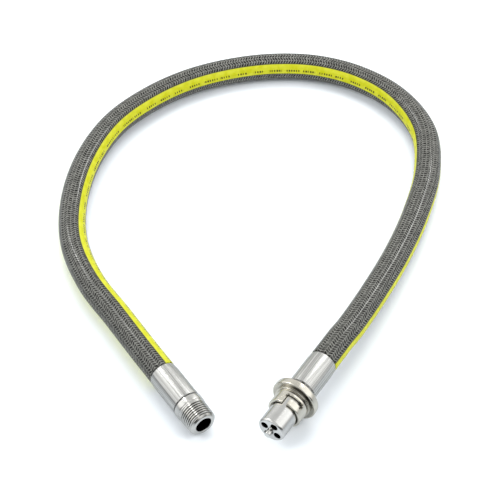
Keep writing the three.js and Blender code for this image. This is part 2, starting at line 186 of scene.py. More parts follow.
class PlugSettings(bpy.types.PropertyGroup):
    barrel_back: length("Barrel back", "Back of the barrel from the mouth of the ferrule", 0.0354)
    shoulder: length("Shoulder", "Back of the nose", 0.0393)
    nose_face: length("Nose face", "End face of the nose", 0.0702)
    nose_diameter: length("Nose diameter", "Outside of the nose", 0.0203)
    nose_wall: length("Nose wall", "Thickness of the end wall", 0.0034)
    journal: length("Journal", "Where the sleeve turns", 0.0172)
    chamber: length("Chamber", "Inside of the barrel", 0.0146)
    port: length("Port", "Diameter of a gas port", 0.0055)
    port_circle: length("Port circle", "Circle that the ports stand on", 0.0112)
    port_turn: angle("Port turn", "Turn of the first port from the top", 26)
    pin_diameter: length("Pin diameter", "Valve pin in the middle of the nose", 0.0048)
    pin_length: length("Pin length", "How far the valve pin stands out", 0.005)
    sleeve_front: length("Sleeve front", "Front edge of the sleeve", 0.0532)
    sleeve_diameter: length("Sleeve diameter", "Outside of the sleeve", 0.0252)
    sleeve_wall: length("Sleeve wall", "Wall of the sleeve", 0.0016)
    flange_back: length("Flange back", "Back face of the flange", 0.0346)
    flange_front: length("Flange front", "Front face of the flange", 0.0403)
    flange_diameter: length("Flange diameter", "Outside of the flange", 0.0342)
    slot_depth: length("Slot depth", "From the front edge to the slot's back wall", 0.0082)
    slot_width: length("Slot width", "Width of the slot's cross leg", 0.0032)
    slot_seat: length("Slot seat", "Length of the seat at the slot's end", 0.0045)
    slot_start: angle("Slot start", "Near side of the slot's mouth", -10.1)
    slot_mouth: angle("Slot mouth", "Far side of the slot's mouth", 8.1)
    slot_end: angle("Slot end", "Far side of the slot's seat", 59.8)
    metal: colour("Metal", "Warm bright nickel", (0.86, 0.83, 0.74))
    nose_metal: colour("Nose metal", "Bright turned steel", (0.82, 0.82, 0.805))


class StudioSettings(bpy.types.PropertyGroup):
    camera_place: FloatVectorProperty(
        name="Camera", description="Where the camera stands",
        default=(0.00498, -0.79328, 1.04855), subtype="XYZ",
    )
    camera_tilt: angle("Camera tilt", "How far the camera looks down", 48)
    lens: FloatProperty(name="Lens", description="Focal length in millimetres", default=135, min=10)
    floor: colour("Floor", "Plain pale floor", (0.93, 0.955, 0.97))
    key_power: power("Key", "Power of the soft lamp behind", 22)
    side_power: power("Sides", "Power of each side lamp", 9)
    ambient: share("Ambient", "Level of the light from all round", 0.7)


class Field:
    """A value in a shader, with Python's operators as Math nodes"""

    def __init__(self, paint, socket):
        self.paint = paint
        self.socket = socket

    def do(self, operation, *others):
        """One Math node that takes this value first"""
        return self.paint.node("Math", {"operation": operation}, dict(enumerate((self, *others))))

    def __add__(self, other):
        return self.do("ADD", other)

    __radd__ = __add__

    def __sub__(self, other):
        return self.do("SUBTRACT", other)

    def __rsub__(self, other):
        return self.paint.node("Math", {"operation": "SUBTRACT"}, {0: other, 1: self})

    def __mul__(self, other):
        return self.do("MULTIPLY", other)

    __rmul__ = __mul__

    def __truediv__(self, other):
        return self.do("DIVIDE", other)

    def __abs__(self):
        return self.do("ABSOLUTE")

    def __neg__(self):
        return self * -1

    def __gt__(self, other):
        return self.do("GREATER_THAN", other)

    def __lt__(self, other):
        return self.do("LESS_THAN", other)

    def fraction(self):
        return self.do("FRACT")

    def root(self):
        return self.do("SQRT")

    def step(self, low, high):
        """Smooth step from none at low to all at high"""
        settings = {"interpolation_type": "SMOOTHSTEP"}
        return self.paint.node("MapRange", settings, {0: self, 1: low, 2: high, 3: 0, 4: 1})

    def band(self, low, full, fading, gone):
        """Smooth band: up from low to full, and down from fading to gone"""
        return self.step(low, full) * (1 - self.step(fading, gone))


class Paint:
    """Node tree of one material or of the world"""

    def __init__(self, tree):
        self.tree = tree
        tree.nodes.clear()

    def node(self, kind, settings=None, sockets=None, output=0):
        """Adds a node, sets it up, feeds its sockets and hands back one output, or several"""
        made = self.tree.nodes.new("ShaderNode" + kind)
        for key, value in (settings or {}).items():
            setattr(made, key, value)
        for key, value in (sockets or {}).items():
            if isinstance(value, Field):
                self.tree.links.new(value.socket, made.inputs[key])
            else:
                made.inputs[key].default_value = value
        if isinstance(output, tuple):
            return [Field(self, made.outputs[name]) for name in output]
        return Field(self, made.outputs[output]) if made.outputs else None

    def blend(self, factor, first, second):
        """Mix of two colours, each a socket's value or a plain one"""
        first, second = (v if isinstance(v, Field) else (*v, 1) for v in (first, second))
        return self.node("Mix", {"data_type": "RGBA"}, {0: factor, 6: first, 7: second}, 2)

    def noise(self, vector, scale, detail=2, roughness=0.5):
        """Soft noise"""
        sockets = {"Vector": vector, "Scale": scale, "Detail": detail, "Roughness": roughness}
        return self.node("TexNoise", None, sockets)

    def vector(self, x, y, z):
        """One vector from three values"""
        return self.node("CombineXYZ", None, {0: x, 1: y, 2: z})

    def split(self, vector):
        """The three values of a vector"""
        return self.node("SeparateXYZ", None, {0: vector}, (0, 1, 2))

    def vectors(self, operation, first, second, output="Vector"):
        """One step of vector arithmetic"""
        return self.node("VectorMath", {"operation": operation}, {0: first, 1: second}, output)

    def chance(self, number):
        """A random share for each whole number"""
        return self.node("TexWhiteNoise", {"noise_dimensions": "1D"}, {"W": number.do("FLOOR")}, "Value")

    def bump(self, height, strength, distance):
        """Normal of a surface raised by a height"""
        return self.node("Bump", None, {"Height": height, "Strength": strength, "Distance": distance})

    def finish(self, **sockets):
        """Principled surface and the output"""
        named = {key.replace("_", " "): value for key, value in sockets.items()}
        surface = self.node("BsdfPrincipled", None, named)
        self.node("OutputMaterial", None, {"Surface": surface})


def new_paint(name):
    """A material and the painter of its nodes"""
    material = bpy.data.materials.new(name)
    material.use_nodes = True
    return material, Paint(material.node_tree)


def ray_kinds(paint):
    """Which rays come from the camera, and which from a shiny surface"""
    return paint.node("LightPath", output=("Is Camera Ray", "Is Glossy Ray"))


def dimmed(tint, part):
    """A part of a colour's brightness"""
    return [c * part for c in tint]


def deselect():
    """Selects nothing"""
    bpy.ops.object.select_all(action="DESELECT")


def activate(piece):
    """Selects one piece alone and makes it active"""
    deselect()
    piece.select_set(True)
    bpy.context.view_layer.objects.active = piece


def apply_modifier(piece, kind, **settings):
    """Adds a modifier, sets it up and applies it"""
    activate(piece)
    modifier = piece.modifiers.new(kind.title(), kind)
    for key, value in settings.items():
        setattr(modifier, key, value)
    bpy.ops.object.modifier_apply(modifier=modifier.name)


def edit_all(piece):
    """Opens a piece in edit mode with all of it selected"""
    activate(piece)
    bpy.ops.object.mode_set(mode="EDIT")
    bpy.ops.mesh.select_all(action="SELECT")


def face_outwards(piece):
    """Turns every face outwards"""
    edit_all(piece)
    bpy.ops.mesh.normals_make_consistent(inside=False)
    bpy.ops.object.mode_set(mode="OBJECT")


def merge_all():
    """Merges the vertices that meet, and leaves all selected"""
    bpy.ops.mesh.select_all(action="SELECT")
    bpy.ops.mesh.remove_doubles(threshold=MERGE_DISTANCE)
    bpy.ops.mesh.select_all(action="SELECT")


def draw_outline(name, points):
    """A closed outline in the XZ plane, drawn as by hand from one vertex, left selected in edit mode"""
    deselect()
    bpy.ops.mesh.primitive_plane_add(size=0.001)
    piece = bpy.context.object
    piece.name = piece.data.name = name
    bpy.ops.object.mode_set(mode="EDIT")
    bpy.ops.mesh.select_all(action="SELECT")
    bpy.ops.mesh.merge(type="CENTER")
    bpy.ops.transform.translate(value=(points[0][0], 0, points[0][1]))
    for (x0, r0), (x1, r1) in zip(points, [*points[1:], points[0]]):
        bpy.ops.mesh.extrude_vertices_move(TRANSFORM_OT_translate={"value": (x1 - x0, 0, r1 - r0)})
    merge_all()
    return piece


def turned(name, outline):
    """A piece turned about the X axis from a closed outline of (along, radius)"""
    piece = draw_outline(name, outline)
    bpy.ops.mesh.spin(steps=TURNED_STEPS, angle=math.tau, center=(0, 0, 0), axis=(1, 0, 0))
    merge_all()
    bpy.ops.object.mode_set(mode="OBJECT")
    face_outwards(piece)
    return piece


def rounded(outline, radii, steps=4):
    """Outline whose corners are rounded off where radii has their number"""
    points = []
    count = len(outline)
    for i, corner in enumerate(outline):
        radius = radii.get(i)
        if not radius:
            points.append(corner)
            continue
        here = Vector(corner)
        before = (Vector(outline[i - 1]) - here).normalized()
        after = (Vector(outline[(i + 1) % count]) - here).normalized()
        start, end = here + before * radius, here + after * radius
        for k in range(steps + 1):
            t = k / steps
            points.append(tuple((1 - t) ** 2 * start + 2 * t * (1 - t) * here + t * t * end))
    return points


def carve(piece, cutter):
    """Cuts one piece with another, which is used up"""
    apply_modifier(piece, "BOOLEAN", object=cutter, operation="DIFFERENCE", solver="EXACT")
    bpy.data.objects.remove(cutter)


def settle(piece, place, material, body, node):
    """Puts a finished piece in its place, smooths and paints it, and makes it stand for its node"""
    activate(piece)
    piece.matrix_world = place
    bpy.ops.object.transform_apply(location=True, rotation=True, scale=True)
    bpy.ops.object.shade_smooth_by_angle(angle=math.radians(28))
    piece.data.materials.clear()
    piece.data.materials.append(material)
    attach(piece, body)
    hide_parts(node)
    deselect()


def local_axes(paint, place):
    """Coordinates of a fitting: along its axis, direction round it, and distance from it"""
    objects = paint.node("TexCoord", output="Object")
    position, turn, _ = place.decompose()
    sockets = {"Vector": objects, "Location": position, "Rotation": turn.to_euler()}
    x, y, z = paint.split(paint.node("Mapping", {"vector_type": "TEXTURE"}, sockets))
    radius = (y * y + z * z).root() + 1e-5
    return x, y / radius, z / radius, radius


def shaded(paint, base, shades):
    """Base colour darkened by each of several shares"""
    for share_of_dark in shades:
        base = paint.blend(share_of_dark, base, DEEP_SHADE)
    return base


def drawn_steel(name, place, metal, shade_from, shade_to):
    """Bright steel with lengthwise drawing lines, and painted shade from a place near its front edge
    onwards
    """
    material, paint = new_paint(name)
    x, across, up, _ = local_axes(paint, place)
    lines = paint.noise(paint.vector(across * 10, up * 10, x * 6), 1, 2, 0.6)
    fine = paint.noise(paint.vector(across * 22, up * 22, x * 8), 1, 1, 0.5)
    cloud = paint.noise(paint.vector(across * 1.5, up * 1.5, x * 90), 1, 2)
    shade = lines.step(0.3, 0.7) * 0.5 + cloud.step(0.3, 0.7) * 0.5
    base = paint.blend(shade, dimmed(metal, 0.9), metal)
    # Painted shade from shade_from to the front edge, where the ferrule meets the collar or the flange
    base = shaded(paint, base, [x.step(shade_from, shade_to) * 0.97])
    streak = lines.step(0.45, 0.55) * 0.6 + fine.step(0.42, 0.58) * 0.4
    base = paint.blend(streak, base, dimmed(metal, 0.45))
    rough = lines * 0.06 + fine * 0.04 + 0.3
    normal = paint.bump(fine + lines, 0.16, 0.00006)
    paint.finish(Base_Color=base, Metallic=1, Roughness=rough, Normal=normal)
    return material


def turned_steel(name, place, metal, darken):
    """Bright metal with fine lines left by turning, shaded where darken says"""
    material, paint = new_paint(name)
    lines = 2600
    x, across, up, radius = local_axes(paint, place)
    rings = paint.noise(paint.vector(x * lines, across * 0.6, radius * lines), 1, 2, 0.6)
    cloud = paint.noise(paint.vector(across * 2.2, up * 2.2, x * 120), 1, 3)
    base = paint.blend(cloud.step(0.3, 0.7), dimmed(metal, 0.93), metal)
    base = shaded(paint, base, darken(x, across, up, radius))
    rough = rings * 0.06 + cloud * 0.04 + 0.11
    normal = paint.bump(rings, 0.14, 0.00003)
    paint.finish(Base_Color=base, Metallic=1, Roughness=rough, Normal=normal)
    return material


def plain_finish(name, tint, roughness, metallic=0.0):
    """Plain moulded or machined finish for what sits inside"""
    material, paint = new_paint(name)
    grain = paint.noise(paint.node("TexCoord", output="Object"), 900, 3)
    base = paint.blend(grain, dimmed(tint, 0.85), tint)
    normal = paint.bump(grain, 0.1, 0.00005)
    paint.finish(Base_Color=base, Metallic=metallic, Roughness=roughness + grain * 0.1, Normal=normal)
    return material


def hose_cover(settings):
    """Grey knitted threads under a clear skin, with two yellow stripes and a row of dashes on one"""
    material, paint = new_paint("hose_cover")
    around, along, _ = paint.split(paint.node("UVMap", {"uv_map": "cover"}))
    circumference = math.pi * settings.diameter
    rows = circumference / settings.stitch
    weave = paint.noise(paint.vector(around * 30, along * 30, 0), 1, 2)
    column = (around * settings.columns).fraction() - 0.5
    side = abs(column) * 2
    lean = column * ((around * (settings.columns / 2)).fraction() > 0.5) * 1.5 - column * 0.75
    wave = (along * rows + lean + weave * 0.3).fraction()
    ridge = abs(wave - 0.5) * 2
    gap = ridge.step(-0.05, 0.34) * (1 - side.step(0.7, 1) * 0.5)
    patch = paint.noise(paint.vector(around * 7, along * 9, 0), 1, 3)
    dark = gap * (weave.step(0.2, 0.7) * 0.25 + 0.75)
    tone = patch.step(0.3, 0.7) * 0.25 + side.step(0.7, 1) * 0.15
    knit = paint.blend(tone, settings.thread_colour, settings.gap_colour)
    knit = paint.blend(dark, knit, settings.gap_colour)

    half = (around * 2).fraction() / 2
    width = settings.stripe_share
    soft = 0.004
    stripe = half.band(0, soft, width - soft, width)
    border = (half.step(0.5 - 0.018, 0.5 - 0.006) + (1 - half.step(0.006, 0.012))) * (1 - stripe)
    border = border + half.band(width - 0.002, width + 0.006, width + 0.006, width + 0.016)
    knit = paint.blend(border * 0.75, knit, (0.045, 0.045, 0.012))
    mottle = paint.noise(paint.vector(around * 12, along * 12, 1), 1, 2)
    pale = [min(1, c * 1.06 + 0.02) for c in settings.stripe_colour]
    yellow = paint.blend(mottle.step(0.3, 0.7), dimmed(settings.stripe_colour, 0.96), pale)

    dash_pitch, group_pitch = 0.0021, 0.0145
    ticks = along * (circumference / dash_pitch)
    groups = along * (circumference / group_pitch)
    tick = ticks.fraction() < paint.chance(ticks) * 0.35 + 0.35
    group = groups.fraction() < paint.chance(groups) * 0.45 + 0.5
    line = half.band(width * 0.57, width * 0.59, width * 0.77, width * 0.79)
    one_side = around < 0.5
    marks = tick * group * line * one_side
    yellow = paint.blend(marks * 0.95, yellow, settings.print_colour)
    base = paint.blend(stripe, knit, yellow)

    relief = (1 - gap) * (1 - stripe) + stripe * 0.9 + mottle * 0.1
    normal = paint.bump(relief, 0.35, 0.0003)
    rough = 0.34 - stripe * 0.04 + weave * 0.08
    skin = {"Coat_Weight": 1, "Coat_Roughness": 0.07, "Coat_IOR": 1.33, "Specular_IOR_Level": 0}
    paint.finish(Base_Color=base, Roughness=rough, Normal=normal, **skin)
    return material


def smooth_route(anchors, gap):
    """Even points along the centripetal curve through the anchors"""
    fine = 40
    points = [Vector(p) for p in anchors]
    points = [2 * points[0] - points[1], *points, 2 * points[-1] - points[-2]]
    dense = []
    for p0, p1, p2, p3 in zip(points, points[1:], points[2:], points[3:]):
        d0, d1, d2 = (math.sqrt((b - a).length) for a, b in ((p0, p1), (p1, p2), (p2, p3)))
        t1 = ((p1 - p0) / d0 - (p2 - p0) / (d0 + d1) + (p2 - p1) / d1) * d1
        t2 = ((p2 - p1) / d1 - (p3 - p1) / (d1 + d2) + (p3 - p2) / d2) * d1
        for k in range(fine):
            t = k / fine
            square, cube = t * t, t * t * t
            dense.append(
                (2 * cube - 3 * square + 1) * p1 + (cube - 2 * square + t) * t1
                + (3 * square - 2 * cube) * p2 + (cube - square) * t2
            )
    dense.append(points[-2])
    places = [0.0]
    for a, b in zip(dense, dense[1:]):
        places.append(places[-1] + (b - a).length)
    count = max(2, round(places[-1] / gap))
    even = []
    k = 0
    for i in range(count + 1):
        target = places[-1] * i / count
        while k < len(dense) - 2 and places[k + 1] < target:
            k += 1
        part = (target - places[k]) / (places[k + 1] - places[k])
        even.append(dense[k].lerp(dense[k + 1], min(1, part)))
    return even


def twist_at(distance):
    """Angle of the inner stripe's upper edge at a distance along the hose"""
    for (d0, a0), (d1, a1) in zip(TWIST, TWIST[1:]):
        if distance <= d1:
            t = max(0.0, (distance - d0) / (d1 - d0))
            return math.radians(a0 + (a1 - a0) * t * t * (3 - 2 * t))
    return math.radians(TWIST[-1][1])


def tube_rings(path, radii, sides, travelled):
    """Rings of vertices round a path, turned with the hose's twist"""
    rings = []
    for i, (centre, radius) in enumerate(zip(path, radii)):
        heading = (path[min(i + 1, len(path) - 1)] - path[max(i - 1, 0)]).normalized()
        inward = heading.cross(Vector((0, 0, 1))).normalized()
        above = inward.cross(heading)
        start = twist_at(travelled[i])
        ring = []
        for k in range(sides):
            turn = start + math.tau * k / sides
            ring.append(centre + radius * (math.sin(turn) * inward + math.cos(turn) * above))
        rings.append(ring)
    return rings


class GASHOSE_OT_studio(bpy.types.Operator):
    """Camera, plain floor, soft lamps and the world"""

    bl_idname = "gashose.studio"
    bl_label = "Studio"

    def execute(self, context):
        studio = context.scene.gas_studio
        scene = context.scene
        scene.view_settings.view_transform = "Standard"
        camera = bpy.data.objects.new("camera", bpy.data.cameras.new("camera"))
        scene.collection.objects.link(camera)
        camera.location = studio.camera_place
        camera.rotation_euler = (math.pi / 2 - studio.camera_tilt, 0, 0)
        camera.data.lens = studio.lens
        camera.data.sensor_width = 36
        camera.data.clip_end = 50
        scene.camera = camera
        self.make_floor(studio)
        self.make_lamps(scene, studio)
        self.make_world(scene, studio)
        return {"FINISHED"}

    @staticmethod
    def make_floor(studio):
        """Round floor just under the part, plain white far from it where the camera looks"""
        deselect()
        centre_x, centre_y = FLOOR_CENTRE
        bpy.ops.mesh.primitive_circle_add(
            vertices=64, radius=3, fill_type="NGON", location=(centre_x, centre_y, -0.0002)
        )
        floor = bpy.context.object
        floor.name = "floor"
        edit_all(floor)
        bpy.ops.mesh.inset(thickness=1.8)
        bpy.ops.object.mode_set(mode="OBJECT")
        bpy.ops.object.transform_apply(location=True, rotation=True, scale=True)
        material, paint = new_paint("floor")
        x, y, _ = paint.split(paint.node("TexCoord", output="Object"))
        x, y = x - centre_x, y - centre_y
        away = (x * x + y * y).root()
        camera_ray, mirror_ray = ray_kinds(paint)
        far = camera_ray * away.step(0.35, 0.9)
        facing = paint.node("LayerWeight", None, {"Blend": 0.5}, "Facing")
        mirrored = paint.blend(facing, (0.62, 0.64, 0.65), (0.3, 0.31, 0.315))
        tint = paint.blend(mirror_ray, studio.floor, mirrored)
        lit = paint.node("BsdfDiffuse", None, {"Color": tint})
        white = paint.node("Emission", None, {"Color": (1, 1, 1, 1), "Strength": 1})
        mixed = paint.node("MixShader", None, {0: far, 1: lit, 2: white})
        paint.node("OutputMaterial", None, {"Surface": mixed})
        floor.data.materials.append(material)
        deselect()

    @staticmethod
    def make_lamps(scene, studio):
        """Three soft round lamps, aimed at the middle of the part and hidden from mirrors"""
        target = Vector((0, 0.15, 0))
        lamps = (
            ("lamp_back", (0.05, 1.15, 1.1), 1.7, studio.key_power),
            ("lamp_left", (-1.1, 0.0, 0.9), 0.9, studio.side_power),
            ("lamp_right", (1.1, 0.0, 0.9), 0.9, studio.side_power),
        )
        for name, place, size, watts in lamps:
            data = bpy.data.lights.new(name, "AREA")
            data.shape = "DISK"
            data.size = size
            data.energy = watts
            lamp = bpy.data.objects.new(name, data)
            scene.collection.objects.link(lamp)
            lamp.location = place
            lamp.rotation_euler = (target - lamp.location).to_track_quat("-Z", "Y").to_euler()
            lamp.visible_camera = False
            lamp.visible_glossy = False

    def make_world(self, scene, studio):
        """World: white for the camera, an even fill for dull surfaces, and a studio for shiny ones"""
        world = bpy.data.worlds.new("studio")
        scene.world = world
        world.use_nodes = True
        paint = Paint(world.node_tree)
        heading = paint.node("TexCoord", output="Generated")
        x, y, z = paint.split(heading)
        glow = z.step(-0.1, 0.4) * 0.26 - z.step(0.55, 0.85) * 0.12 + 0.5
        right = x.step(0.2, 0.42) * z.step(0.06, 0.34)
        left = (-x).step(0.45, 0.7) * z.step(0.02, 0.3)
        sides = (right + left) * 0.45
        front = (-y).step(0.05, 0.35) * (1 - z.step(0.3, 0.6))
        mirror = (glow + sides) * (1 - front * 0.9)
        for box in SOFT_BOXES:
            mirror = mirror.do("MAXIMUM", self.strip_light(paint, heading, *box))
        fill = tuple(studio.ambient * c for c in (0.94, 0.99, 1.05))
        camera_ray, mirror_ray = ray_kinds(paint)
        shade = paint.blend(mirror_ray, fill, paint.vector(mirror, mirror, mirror * 0.985))
        seen = paint.blend(camera_ray, shade, (1, 1, 1))
        back = paint.node("Background", None, {"Color": seen, "Strength": 1})
        paint.node("OutputWorld", None, {"Surface": back})

    @staticmethod
    def strip_light(paint, heading, start, start_level, end, end_level, width):
        """Level of one strip light: full along the line between its ends, fading with distance from it"""
        start, end = Vector(start), Vector(end)
        along = end - start
        offset = paint.vectors("SUBTRACT", heading, start)
        share_along = paint.vectors("DOT_PRODUCT", offset, along / along.length_squared, "Value")
        share_along = share_along.do("MAXIMUM", 0).do("MINIMUM", 1)
        nearest = paint.vectors("MULTIPLY", paint.vector(share_along, share_along, share_along), along)
        distance = paint.vectors("DISTANCE", offset, nearest, "Value")
        level = share_along * (end_level - start_level) + start_level
        return (1 - distance.step(width * 0.3, width)) * level


class GASHOSE_OT_hose(bpy.types.Operator):
    """Hose with its knitted grey cover, two yellow stripes and gripped ends"""

    bl_idname = "gashose.hose"
    bl_label = "Hose"

    def execute(self, context):
        hose = context.scene.gas_hose
        path, radii, travelled = self.centre_line(hose)
        outer = tube_rings(path, radii, hose.sides, travelled)
        inner = tube_rings(path, [hose.bore / 2] * len(path), hose.sides, travelled)
        inner = [*inner[:-1:BORE_THINNING], inner[-1]]
        piece = self.make_mesh(outer, inner, travelled, hose)
        piece.data.materials.append(hose_cover(hose))
        activate(piece)
        bpy.ops.object.shade_smooth_by_angle(angle=math.radians(40))
        deselect()
        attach(piece, "hose_body")
        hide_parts("hose")
        total = sum((b - a).length for a, b in zip(path, path[1:]))
        return {"FINISHED"}

    @staticmethod
    def centre_line(hose):
        """Centre points, radius at each, and distance travelled from the thread end's ferrule"""
        leads = [THREAD_END @ Vector((-back, 0, 0)) for back in LEADS]
        trails = [PLUG_END @ Vector((-back, 0, 0)) for back in reversed(LEADS)]
        free = smooth_route([*leads, *ROUTE, *trails], hose.ring_gap)
        full, neck = hose.diameter / 2, hose.neck / 2
        shoulder = (
            (0.0, neck), (0.0001, 0.93 * full), (0.0004, 0.975 * full), (0.0009, 0.995 * full),
            (0.0016, full),
        )
        clear = 0.0025
        inside = [hose.grip * k / 6 for k in range(6, 0, -1)]
        path = [THREAD_END @ Vector((d, 0, 0)) for d in inside]
        radii = [neck] * len(path)
        path += [THREAD_END @ Vector((-LEADS[0] - d, 0, 0)) for d, _ in shoulder]
        radii += [r for _, r in shoulder]
        middle = [p for p in free if (p - free[0]).length > clear and (p - free[-1]).length > clear]
        path += middle
        radii += [full] * len(middle)
        path += [PLUG_END @ Vector((-LEADS[0] - d, 0, 0)) for d, _ in reversed(shoulder)]
        radii += [r for _, r in reversed(shoulder)]
        path += [PLUG_END @ Vector((d, 0, 0)) for d in reversed(inside)]
        radii += [neck] * len(inside)
        travelled = [-hose.grip]
        for a, b in zip(path, path[1:]):
            travelled.append(travelled[-1] + (b - a).length)
        return path, radii, travelled

    @staticmethod
    def make_mesh(outer, inner, travelled, hose):
        """Closed wall of the hose, with a map whose unit is one way round the cover"""
        sides = hose.sides
        rings = [*outer, *reversed(inner)]
        vertices = [tuple(p) for ring in rings for p in ring]
        faces = []
        corners = []
        circumference = math.pi * hose.diameter
        lengths = [d / circumference for d in travelled]
        end, whole = lengths[-1], lengths[-1] - lengths[0]
        lengths += [end - whole * k / (len(inner) - 1) for k in range(len(inner))]
        count = len(rings)
        for i in range(count):
            j = (i + 1) % count
            for k in range(sides):
                m = (k + 1) % sides
                faces.append((i * sides + k, i * sides + m, j * sides + m, j * sides + k))
                u0, u1 = k / sides, (k + 1) / sides
                corners += [(u0, lengths[i]), (u1, lengths[i]), (u1, lengths[j]), (u0, lengths[j])]
        mesh = bpy.data.meshes.new("gas_hose")
        mesh.from_pydata(vertices, [], faces)
        layer = mesh.uv_layers.new(name="cover")
        for loop, corner in zip(layer.data, corners):
            loop.uv = corner
        piece = bpy.data.objects.new("gas_hose", mesh)
        bpy.context.scene.collection.objects.link(piece)
        face_outwards(piece)
        return piece


class GASHOSE_OT_ferrules(bpy.types.Operator):
    """The two crimped ferrules, modelled once and copied"""

    bl_idname = "gashose.ferrules"
    bl_label = "Ferrules"

    def execute(self, context):
        ferrule = context.scene.gas_ferrule
        front = ferrule.diameter / 2
        rear = front - ferrule.swage
        bore = ferrule.bore / 2
        lip = ferrule.lip_bore / 2
        outline = [
            (0, bore), (0, rear), (ferrule.swage_length * 0.5, rear), (ferrule.swage_length, front),
            (ferrule.length, front), (ferrule.length, lip), (ferrule.length - ferrule.lip, lip),
            (ferrule.length - ferrule.lip, bore),
        ]
        rounds = {0: 0.0003, 1: 0.0011, 4: 0.0006, 5: 0.0003}
        first = turned("thread_end_ferrule", rounded(outline, rounds))
        second = first.copy()
        second.data = first.data.copy()
        second.name = second.data.name = "plug_end_ferrule"
        context.scene.collection.objects.link(second)
        # Each ferrule, its place, its node, and where its painted shade begins and becomes full
        ends = (
            (first, THREAD_END, "thread_ferrule", ferrule.length - 0.001, ferrule.length - 0.0004),
            (second, PLUG_END, "bayonet_ferrule", ferrule.length - 0.0034, ferrule.length - 0.0026),
        )
        for piece, place, node, shade_from, shade_to in ends:
            steel = drawn_steel(piece.name + "_steel", place, ferrule.metal, shade_from, shade_to)
            settle(piece, place, steel, "hose_body", node)
        return {"FINISHED"}


class GASHOSE_OT_nipple(bpy.types.Operator):
    """Nipple with its barbed tail, collar and taper thread"""

    bl_idname = "gashose.nipple"
    bl_label = "Threaded nipple"

    def execute(self, context):
        nipple = context.scene.gas_nipple
        start = nipple.back + nipple.collar_length
        tip = start + nipple.thread_length
        chamfer = tip - nipple.tip_chamfer
        bore = nipple.bore / 2
        bore_end, bore_cone = tip - nipple.bore_depth, 0.003
        outline = self.tail(nipple)
        collar = len(outline)
        outline += [
            (nipple.back, nipple.collar_diameter / 2),
            (start, nipple.collar_diameter / 2),
            (start, self.crest_radius(nipple, tip, start)),
            (chamfer, self.crest_radius(nipple, tip, chamfer)),
            (tip, nipple.tip_diameter / 2),
            (tip, bore),
            (bore_end, bore),
            (bore_end - bore_cone, nipple.tail_bore / 2),
        ]
        rounds = {collar: 0.0004, collar + 1: 0.0006, collar + 4: 0.0003, collar + 5: 0.0005}
        piece = turned("nipple", rounded(outline, rounds, 3))
        carve(piece, self.groove(nipple, start, tip))

        def darken(x, across, up, radius):
            """Shade on the line behind the collar, in the bore and in the thread's grooves"""
            crest = (tip - nipple.gauge_length - x) * (THREAD_TAPER / 2) + nipple.gauge_diameter / 2
            sunk = (crest - radius).step(0.0001, nipple.depth * 0.9)
            turns = x.band(start, start + 0.0003, chamfer - 0.0002, chamfer)
            glint = (-up).step(0.75, 0.95) * x.step(tip - 0.004, tip - 0.0015)
            inside = (1 - radius.step(bore, bore + 0.0002)) * (1 - glint * 0.8)
            behind = 1 - x.step(nipple.back + 0.0002, nipple.back + 0.0008)
            return behind * 0.92, inside * (1 - x.step(tip - 0.001, tip)) * 0.97, sunk * turns * 0.85

        steel = turned_steel("nipple_steel", THREAD_END, nipple.metal, darken)
        settle(piece, THREAD_END, steel, "hose_body", "thread_nipple")
        return {"FINISHED"}

    @staticmethod
    def crest_radius(nipple, tip, along):
        """Radius over the crests of the thread at a place along the nipple"""
        gauge = tip - nipple.gauge_length
        return (nipple.gauge_diameter + (gauge - along) * THREAD_TAPER) / 2

    @staticmethod
    def tail(nipple):
        """Barbed tail from its open end to the back of the collar"""
        barb_depth, barb_pitch, barb_count = 0.00045, 0.0046, 5
        opening, neck_start, neck = 0.0015, 0.0273, nipple.neck / 2
        crest, bore = nipple.tail_diameter / 2, nipple.tail_bore / 2
        root = crest - barb_depth
        outline = [(opening, bore), (opening, root)]
        for i in range(1, barb_count + 1):
            outline += [(opening + barb_pitch * i, crest), (opening + barb_pitch * i, root)]
        return [*outline, (neck_start, root), (neck_start, neck), (nipple.back, neck)]

    def groove(self, nipple, start, tip):
        """V-shaped bar wound on the cone of the thread, lifting out at the collar"""
        pitch, depth, rise = nipple.pitch, nipple.depth, 0.00012
        half_root, half_crest = 0.00015, 0.00018
        start_turn, runout_turns, steps_per_turn = 0.5, 0.6, 72
        spread = (pitch / 2 - half_root - half_crest) * (1 + rise / depth) + half_root
        turns = nipple.thread_length / pitch
        base = self.crest_radius(nipple, tip, 0)
        first = start + start_turn * pitch
        corners = (
            (first - half_root, base - depth), (first + half_root, base - depth),
            (first + spread, base + rise), (first - spread, base + rise),
        )
        bar = draw_outline("groove", corners)
        bpy.ops.object.mode_set(mode="OBJECT")
        steps = round(turns * steps_per_turn)
        apply_modifier(
            bar, "SCREW", axis="X", angle=turns * math.tau, screw_offset=turns * pitch, iterations=1,
            steps=steps, render_steps=steps, use_merge_vertices=False,
        )
        for vertex in bar.data.vertices:
            x, y, z = vertex.co
            along = (x - first) / pitch
            radius = math.hypot(y, z)
            lift = max(0.0, 1 - along / runout_turns) * (depth + rise)
            grown = radius - x * THREAD_TAPER / 2 + lift
            vertex.co = (x, y * grown / radius, z * grown / radius)
        edit_all(bar)
        bpy.ops.mesh.fill_holes(sides=4)
        bpy.ops.object.mode_set(mode="OBJECT")
        face_outwards(bar)
        return bar


